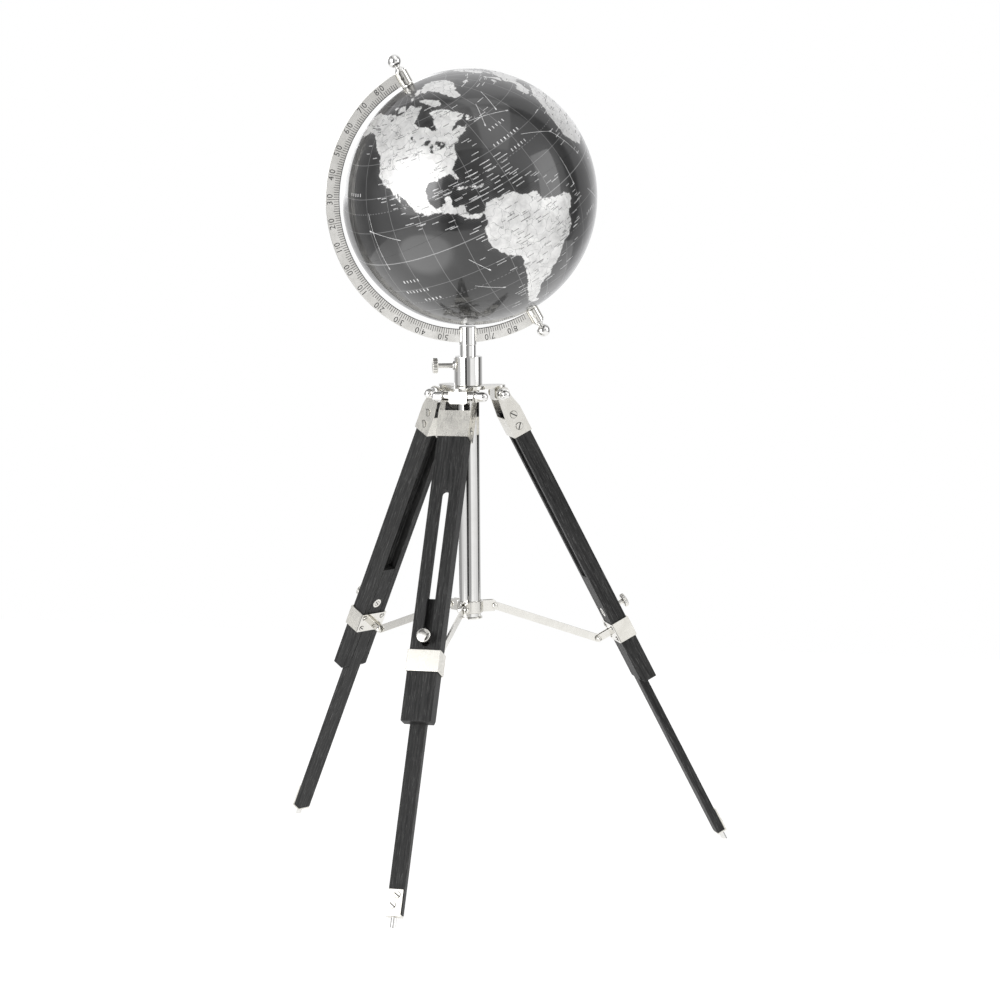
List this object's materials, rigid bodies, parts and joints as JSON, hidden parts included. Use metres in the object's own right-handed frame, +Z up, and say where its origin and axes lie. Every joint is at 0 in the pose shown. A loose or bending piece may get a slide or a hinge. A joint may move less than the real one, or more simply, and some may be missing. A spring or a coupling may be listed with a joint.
{
  "type": "desktop globe on stand",
  "caption": "Desk globe on a tilted half meridian ring, on a telescopic mast held by a small folding tripod with sliding black wooden legs, a spreader and clamp knobs.",
  "frame": {"origin": "middle of the whole object's box, on the floor under the feet", "axes": "+Z up along the mast and column; -Y towards the front leg; +X to the right when seen from the front; the globe's axis leans towards -X with its north pole"},
  "size_m": [0.3778, 0.3296, 0.6403],
  "materials": {
    "globe_gloss": "high gloss, dark oceans with silver land",
    "polished_chrome": "mirror polished",
    "satin_nickel": "satin nickel plate",
    "black_wood": "black stain, satin varnish"
  },
  "bodies": {
    "base": {"column_tube": "polished_chrome", "hub_plate": "satin_nickel", "mast_socket": "polished_chrome", "column_end_ring": "satin_nickel", "pivot_bolt_1": "polished_chrome", "pivot_bolt_2": "polished_chrome", "pivot_bolt_3": "polished_chrome"},
    "mast": {"mast_tube": "polished_chrome"},
    "head": {"meridian_ring": "satin_nickel", "ring_ferrule": "polished_chrome", "sleeve_north": "satin_nickel", "sleeve_south": "satin_nickel", "set_screw_north": "satin_nickel", "set_screw_south": "satin_nickel", "finial_north": "polished_chrome", "finial_south": "polished_chrome"},
    "globe": {"globe_north_shell": "globe_gloss", "globe_south_shell": "globe_gloss", "globe_north_bearing": "satin_nickel", "globe_south_bearing": "satin_nickel"},
    "thumbscrew": {"mast_thumbscrew": "satin_nickel"},
    "spreader": {"spreader_collar": "satin_nickel", "spreader_pin_1": "satin_nickel", "spreader_pin_2": "satin_nickel", "spreader_pin_3": "satin_nickel"},
    "leg_1": {"upper_leg_1": "black_wood", "leg_bracket_1": "satin_nickel", "leg_band_1": "satin_nickel", "arm_clevis_1": "satin_nickel"},
    "lower_leg_1": {"lower_leg_1": "black_wood", "leg_nut_1": "satin_nickel", "foot_plate_1": "satin_nickel", "foot_stud_1": "polished_chrome"},
    "knob_1": {"leg_knob_1": "satin_nickel"},
    "arm_1": {"spreader_arm_1": "satin_nickel"},
    "leg_2": {"upper_leg_2": "black_wood", "leg_bracket_2": "satin_nickel", "leg_band_2": "satin_nickel", "arm_clevis_2": "satin_nickel"},
    "lower_leg_2": {"lower_leg_2": "black_wood", "leg_nut_2": "satin_nickel", "foot_plate_2": "satin_nickel", "foot_stud_2": "polished_chrome"},
    "knob_2": {"leg_knob_2": "satin_nickel"},
    "arm_2": {"spreader_arm_2": "satin_nickel"},
    "leg_3": {"upper_leg_3": "black_wood", "leg_bracket_3": "satin_nickel", "leg_band_3": "satin_nickel", "arm_clevis_3": "satin_nickel"},
    "lower_leg_3": {"lower_leg_3": "black_wood", "leg_nut_3": "satin_nickel", "foot_plate_3": "satin_nickel", "foot_stud_3": "polished_chrome"},
    "knob_3": {"leg_knob_3": "satin_nickel"},
    "arm_3": {"spreader_arm_3": "satin_nickel"}
  },
  "joints": [
    {"name": "mast_lift", "type": "slide", "parent": "base", "child": "mast", "axis": [0, 0, 1], "range_m": [-0.009, 0.1]},
    {"name": "head_turn", "type": "hinge", "parent": "mast", "child": "head", "pos_m": [0, 0.05221, 0.4139], "axis": [0, 0, 1], "continuous": true},
    {"name": "globe_spin", "type": "hinge", "parent": "head", "child": "globe", "pos_m": [0.00212, 0.05343, 0.52937], "axis": [-0.4238, -0.2447, 0.8721], "continuous": true},
    {"name": "thumbscrew_turn", "type": "hinge", "parent": "base", "child": "thumbscrew", "pos_m": [-0.02641, 0.0426, 0.3975], "axis": [-0.9397, -0.342, 0], "range_deg": [0, 720]},
    {"name": "spreader_slide", "type": "slide", "parent": "base", "child": "spreader", "axis": [0, 0, 1], "range_m": [0, 0.0439]},
    {"name": "fold_1", "type": "hinge", "parent": "base", "child": "leg_1", "pos_m": [0.02165, 0.06471, 0.375], "axis": [-0.5, 0.866, 0], "range_deg": [0, 19.15]},
    {"name": "arm_turn_1", "type": "hinge", "parent": "spreader", "child": "arm_1", "pos_m": [0.01706, 0.06206, 0.2047], "axis": [-0.5, 0.866, 0], "range_deg": [0, 60.2]},
    {"name": "leg_slide_1", "type": "slide", "parent": "leg_1", "child": "lower_leg_1", "axis": [-0.3952, -0.2282, 0.8898], "range_m": [-0.003, 0.115]},
    {"name": "knob_turn_1", "type": "hinge", "parent": "lower_leg_1", "child": "knob_1", "pos_m": [0.10061, 0.1103, 0.19722], "axis": [0.7706, 0.4449, 0.4563], "range_deg": [0, 720]},
    {"name": "fold_2", "type": "hinge", "parent": "base", "child": "leg_2", "pos_m": [-0.02165, 0.06471, 0.375], "axis": [-0.5, -0.866, 0], "range_deg": [0, 19.15]},
    {"name": "arm_turn_2", "type": "hinge", "parent": "spreader", "child": "arm_2", "pos_m": [-0.01706, 0.06206, 0.2047], "axis": [-0.5, -0.866, 0], "range_deg": [0, 60.2]},
    {"name": "leg_slide_2", "type": "slide", "parent": "leg_2", "child": "lower_leg_2", "axis": [0.3952, -0.2282, 0.8898], "range_m": [-0.003, 0.115]},
    {"name": "knob_turn_2", "type": "hinge", "parent": "lower_leg_2", "child": "knob_2", "pos_m": [-0.10061, 0.1103, 0.19722], "axis": [-0.7706, 0.4449, 0.4563], "range_deg": [0, 720]},
    {"name": "fold_3", "type": "hinge", "parent": "base", "child": "leg_3", "pos_m": [0, 0.02721, 0.375], "axis": [1, 0, 0], "range_deg": [0, 19.15]},
    {"name": "arm_turn_3", "type": "hinge", "parent": "spreader", "child": "arm_3", "pos_m": [0, 0.03251, 0.2047], "axis": [1, 0, 0], "range_deg": [0, 60.2]},
    {"name": "leg_slide_3", "type": "slide", "parent": "leg_3", "child": "lower_leg_3", "axis": [0, 0.4563, 0.8898], "range_m": [-0.003, 0.115]},
    {"name": "knob_turn_3", "type": "hinge", "parent": "lower_leg_3", "child": "knob_3", "pos_m": [0, -0.06396, 0.19722], "axis": [0, -0.8898, 0.4563], "range_deg": [0, 720]}
  ],
  "couplings": [
    {"joint": "fold_2", "follows": "fold_1", "ratio": 1},
    {"joint": "fold_3", "follows": "fold_1", "ratio": 1},
    {"joint": "spreader_slide", "follows": "fold_1", "m_per_rad": 0.13108},
    {"joint": "arm_turn_1", "follows": "fold_1", "ratio": 3.1384},
    {"joint": "arm_turn_2", "follows": "fold_1", "ratio": 3.1384},
    {"joint": "arm_turn_3", "follows": "fold_1", "ratio": 3.1384}
  ]
}
